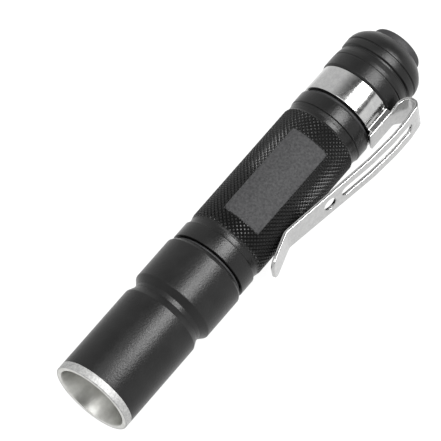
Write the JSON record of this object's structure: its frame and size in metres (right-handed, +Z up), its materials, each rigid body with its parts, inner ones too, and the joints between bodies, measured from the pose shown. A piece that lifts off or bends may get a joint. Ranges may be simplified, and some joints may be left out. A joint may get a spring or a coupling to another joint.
{
  "type": "keychain flashlight",
  "caption": "Pocket-size flashlight for one AAA cell, with an unscrewing head, a knurled tube, a turning spring clip and a push-button tail cap.",
  "frame": {"origin": "centre of the front rim, on the axis of the light", "axes": "+X from the head to the tail along the axis, +Z up with the light lying on its skirt and the edge of its clip, so the clip points towards -Y and down"},
  "size_m": [0.0814, 0.019, 0.015],
  "materials": {
    "black_anodised": "bead-blasted, black anodised, satin",
    "bare_aluminium": "turned bright",
    "clip_steel": "nickel-plated spring steel, bright",
    "rubber": "matte black",
    "lens_glass": "polished",
    "led_resin": "clear dome over a red die",
    "ceramic": "white ceramic",
    "board_white": "white solder mask on a metal core",
    "board_green": "green solder mask",
    "ferrite": "dark ferrite",
    "lead_insulation": "red insulation",
    "brass": "turned",
    "spring_steel": "drawn wire",
    "cell_steel": "nickel-plated",
    "cell_sleeve": "plain printed sleeve",
    "white_plastic": "moulded",
    "switch_case": "moulded"
  },
  "bodies": {
    "tube": {"body_tube": "black_anodised", "head_o_ring": "rubber", "tail_o_ring": "rubber", "cell_can": "cell_steel", "cell_cap": "cell_steel", "cell_jacket": "cell_sleeve"},
    "head_travel": {"lens": "lens_glass", "lens_seal": "rubber", "contact_stud": "brass"},
    "head": {"head_barrel": "black_anodised", "bezel_cup": "bare_aluminium", "led_dome": "led_resin", "led_package": "ceramic", "led_board": "board_white", "led_pill": "bare_aluminium", "led_leads": "lead_insulation", "driver_board": "board_green", "driver_coil": "ferrite"},
    "cap_travel": {"switch_spacer": "white_plastic", "boot_washer": "white_plastic", "boot_flange": "rubber"},
    "cap": {"tail_cap": "black_anodised", "retaining_ring": "brass", "switch_board": "board_green", "switch_body": "switch_case", "switch_spring": "spring_steel", "battery_spring": "spring_steel"},
    "button": {"boot_dome": "rubber", "switch_plunger": "white_plastic"},
    "clip_ring": {"clip_ring": "clip_steel"},
    "clip_arm": {"clip_arm": "clip_steel"}
  },
  "joints": [
    {"name": "head_unscrew", "type": "slide", "parent": "tube", "child": "head_travel", "axis": [-1, 0, 0], "range_m": [0, 0.0095]},
    {"name": "head_turn", "type": "hinge", "parent": "head_travel", "child": "head", "pos_m": [0, 0, 0], "axis": [-1, 0, 0], "range_deg": [0, 3420]},
    {"name": "cap_unscrew", "type": "slide", "parent": "tube", "child": "cap_travel", "axis": [1, 0, 0], "range_m": [0, 0.00375]},
    {"name": "cap_turn", "type": "hinge", "parent": "cap_travel", "child": "cap", "pos_m": [0.075, 0, 0], "axis": [1, 0, 0], "range_deg": [0, 1800]},
    {"name": "button_press", "type": "slide", "parent": "cap", "child": "button", "axis": [-1, 0, 0], "range_m": [0, 0.001], "stiffness_N_per_m": 2500, "springref_m": -0.0002, "deforming": ["switch_spring"]},
    {"name": "clip_ring_turn", "type": "hinge", "parent": "tube", "child": "clip_ring", "pos_m": [0.067, 0, 0], "axis": [1, 0, 0], "continuous": true},
    {"name": "clip_flex", "type": "hinge", "parent": "clip_ring", "child": "clip_arm", "pos_m": [0.0734, -0.00865, -0.00404], "axis": [0, -0.4235, 0.9059], "range_deg": [0, 8], "stiffness_Nm_per_rad": 2.1}
  ],
  "couplings": [
    {"joint": "head_turn", "follows": "head_unscrew", "rad_per_m": 6283.2},
    {"joint": "cap_turn", "follows": "cap_unscrew", "rad_per_m": 8377.6}
  ]
}
